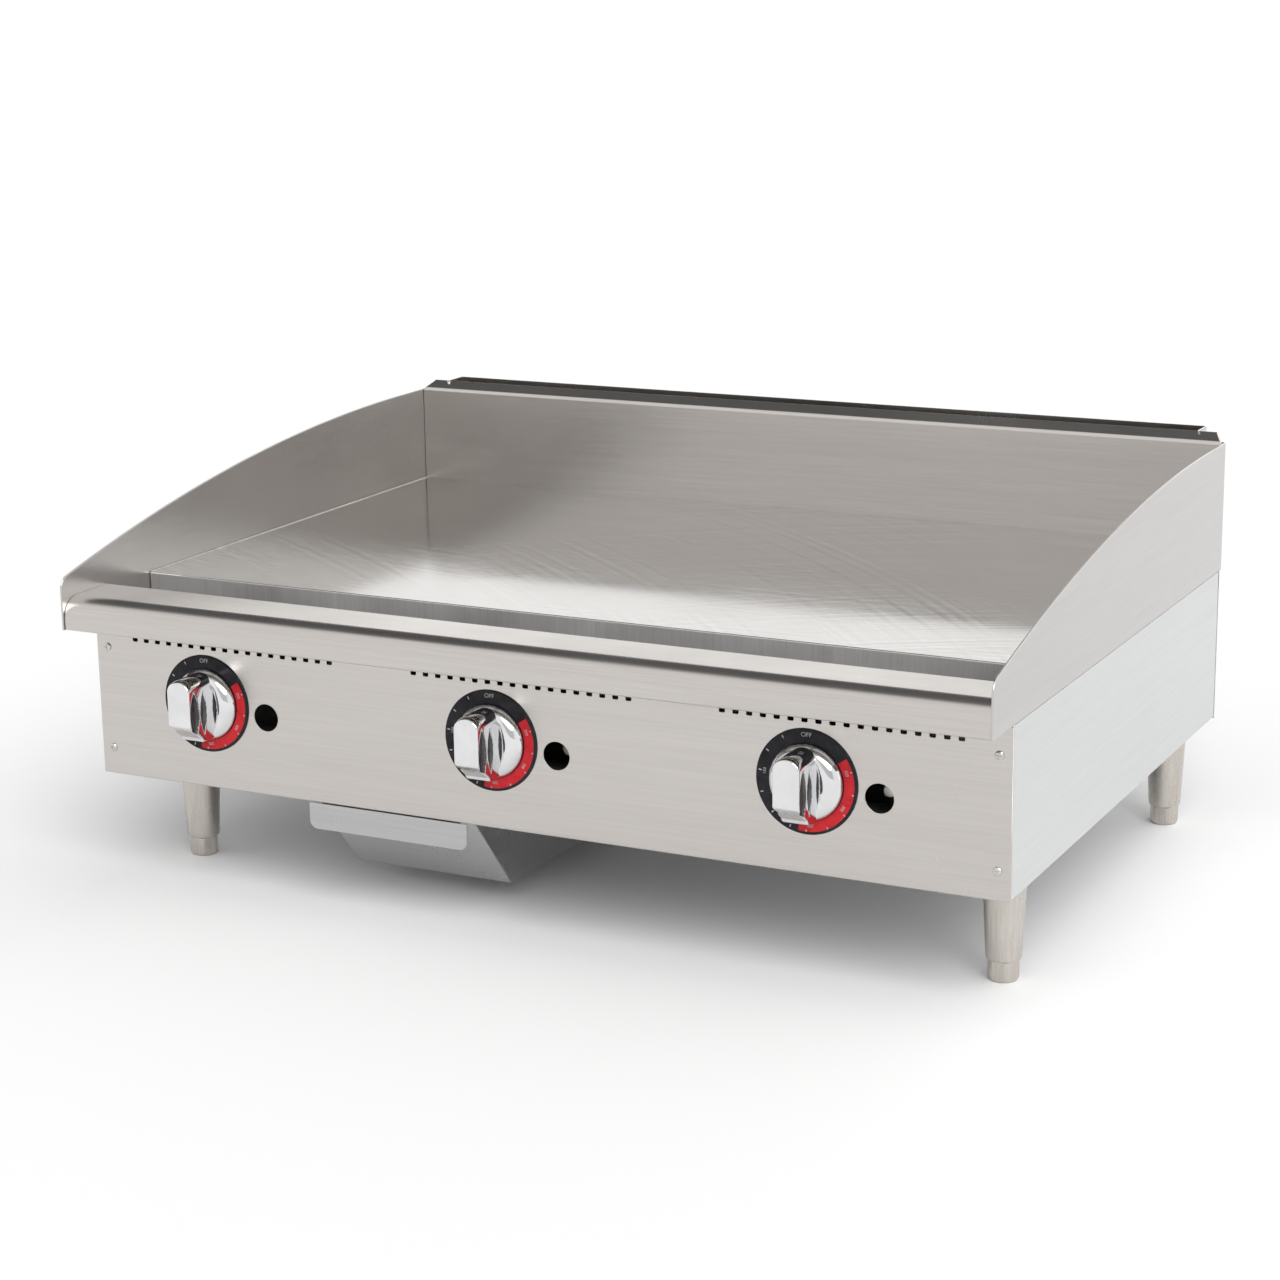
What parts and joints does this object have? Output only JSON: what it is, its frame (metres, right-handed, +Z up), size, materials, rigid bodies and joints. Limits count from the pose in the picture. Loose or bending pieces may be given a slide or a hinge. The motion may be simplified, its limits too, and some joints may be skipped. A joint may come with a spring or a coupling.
{
  "type": "flat top griddle",
  "caption": "Countertop gas griddle: thick steel plate between tapered splashes, grease trough and drawer, rotary gas controls and adjustable legs.",
  "frame": {"origin": "on the counter, under the middle of the whole object", "axes": "+Z up, +X to the right of the cook, who stands on the -Y side facing the controls"},
  "size_m": [0.9144, 0.702, 0.3955],
  "materials": {
    "plate_steel": "ground and polished cooking surface",
    "stainless_shell": "brushed, grain along each sheet",
    "stainless_drawer": "mill finish",
    "aluminised_steel": "dull grey aluminised sheet and tube",
    "valve_brass": "cast and turned",
    "knob_chrome": "bright plated casting",
    "dial_enamel": "gloss black with a red arc and pale marks",
    "gas_pipe": "black iron pipe",
    "cast_leg": "satin cast"
  },
  "bodies": {
    "frame": {"bottom_pan": "aluminised_steel", "burner_left": "aluminised_steel", "burner_middle": "aluminised_steel", "burner_rail": "aluminised_steel", "burner_right": "aluminised_steel", "control_panel": "stainless_shell", "dial_plate_left": "dial_enamel", "dial_plate_middle": "dial_enamel", "dial_plate_right": "dial_enamel", "drawer_rail_left": "aluminised_steel", "drawer_rail_right": "aluminised_steel", "firewall": "aluminised_steel", "flue_riser": "stainless_shell", "front_ledge": "stainless_shell", "gas_inlet": "gas_pipe", "gas_valve_left": "valve_brass", "gas_valve_middle": "valve_brass", "gas_valve_right": "valve_brass", "grease_chute": "stainless_drawer", "grease_trough": "stainless_drawer", "griddle_plate": "plate_steel", "heat_shield": "aluminised_steel", "leg_front_left": "cast_leg", "leg_front_right": "cast_leg", "leg_rear_left": "cast_leg", "leg_rear_right": "cast_leg", "manifold_pipe": "gas_pipe", "panel_screw_lower_left": "stainless_shell", "panel_screw_lower_right": "stainless_shell", "panel_screw_upper_left": "stainless_shell", "panel_screw_upper_right": "stainless_shell", "pilot_tube_left": "aluminised_steel", "pilot_tube_middle": "aluminised_steel", "pilot_tube_right": "aluminised_steel", "pilot_valve_left": "aluminised_steel", "pilot_valve_middle": "aluminised_steel", "pilot_valve_right": "aluminised_steel", "plate_rail_left": "aluminised_steel", "plate_rail_right": "aluminised_steel", "rear_panel": "aluminised_steel", "side_panel_left": "stainless_shell", "side_panel_right": "stainless_shell", "splash_back": "stainless_shell", "splash_left": "stainless_shell", "splash_right": "stainless_shell"},
    "control_left": {"knob_left": "knob_chrome", "valve_stem_left": "valve_brass"},
    "control_middle": {"knob_middle": "knob_chrome", "valve_stem_middle": "valve_brass"},
    "control_right": {"knob_right": "knob_chrome", "valve_stem_right": "valve_brass"},
    "shutter_left": {"air_shutter_left": "aluminised_steel"},
    "shutter_middle": {"air_shutter_middle": "aluminised_steel"},
    "shutter_right": {"air_shutter_right": "aluminised_steel"},
    "drawer": {"grease_tray": "stainless_drawer", "drawer_handle": "stainless_drawer"},
    "levelling_foot_front_left": {"foot_front_left": "cast_leg"},
    "levelling_foot_front_right": {"foot_front_right": "cast_leg"},
    "levelling_foot_rear_left": {"foot_rear_left": "cast_leg"},
    "levelling_foot_rear_right": {"foot_rear_right": "cast_leg"}
  },
  "joints": [
    {"name": "knob_left_turn", "type": "hinge", "parent": "frame", "child": "control_left", "pos_m": [-0.3341, -0.3, 0.188], "axis": [0, -1, 0], "range_deg": [0, 300]},
    {"name": "knob_middle_turn", "type": "hinge", "parent": "frame", "child": "control_middle", "pos_m": [-0.0293, -0.3, 0.188], "axis": [0, -1, 0], "range_deg": [0, 300]},
    {"name": "knob_right_turn", "type": "hinge", "parent": "frame", "child": "control_right", "pos_m": [0.2755, -0.3, 0.188], "axis": [0, -1, 0], "range_deg": [0, 300]},
    {"name": "air_shutter_left_turn", "type": "hinge", "parent": "frame", "child": "shutter_left", "pos_m": [-0.3341, -0.22, 0.188], "axis": [0, 1, 0], "range_deg": [0, 90]},
    {"name": "air_shutter_middle_turn", "type": "hinge", "parent": "frame", "child": "shutter_middle", "pos_m": [-0.0293, -0.22, 0.188], "axis": [0, 1, 0], "range_deg": [0, 90]},
    {"name": "air_shutter_right_turn", "type": "hinge", "parent": "frame", "child": "shutter_right", "pos_m": [0.2755, -0.22, 0.188], "axis": [0, 1, 0], "range_deg": [0, 90]},
    {"name": "drawer_slide", "type": "slide", "parent": "frame", "child": "drawer", "axis": [0, -1, 0], "range_m": [0, 0.36]},
    {"name": "foot_front_left_screw_out", "type": "slide", "parent": "frame", "child": "levelling_foot_front_left", "axis": [0, 0, -1], "range_m": [0, 0.025]},
    {"name": "foot_front_right_screw_out", "type": "slide", "parent": "frame", "child": "levelling_foot_front_right", "axis": [0, 0, -1], "range_m": [0, 0.025]},
    {"name": "foot_rear_left_screw_out", "type": "slide", "parent": "frame", "child": "levelling_foot_rear_left", "axis": [0, 0, -1], "range_m": [0, 0.025]},
    {"name": "foot_rear_right_screw_out", "type": "slide", "parent": "frame", "child": "levelling_foot_rear_right", "axis": [0, 0, -1], "range_m": [0, 0.025]}
  ]
}
